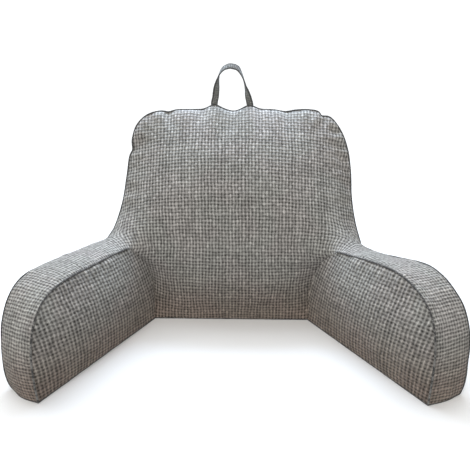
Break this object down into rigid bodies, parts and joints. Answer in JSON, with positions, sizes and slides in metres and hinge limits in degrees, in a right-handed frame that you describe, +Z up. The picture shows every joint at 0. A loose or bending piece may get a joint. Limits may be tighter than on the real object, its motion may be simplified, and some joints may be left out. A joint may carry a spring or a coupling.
{
  "type": "backrest pillow",
  "caption": "Upright stuffed backrest pillow with two splayed armrests, welted seams and a cloth carry loop on its top edge.",
  "frame": {"origin": "on the floor, under the middle of the whole pillow's bounding box", "axes": "+X to the pillow's right as seen from the front, +Y to its back, +Z up; the sitter's side faces -Y"},
  "size_m": [0.7506, 0.447, 0.4559],
  "materials": {
    "tweed_cover": "matte grey tweed in a small basket weave, dark and pale yarns about 3 mm wide",
    "dark_welt": "matte dark grey edging cord",
    "strap_cloth": "matte grey tweed folded to a narrow strap with stitched edges"
  },
  "bodies": {
    "root": {"backrest": "tweed_cover", "arm_left": "tweed_cover", "arm_right": "tweed_cover", "outer_welt": "dark_welt", "arm_welt_left": "dark_welt", "arm_welt_right": "dark_welt", "carry_strap": "strap_cloth"}
  },
  "joints": []
}
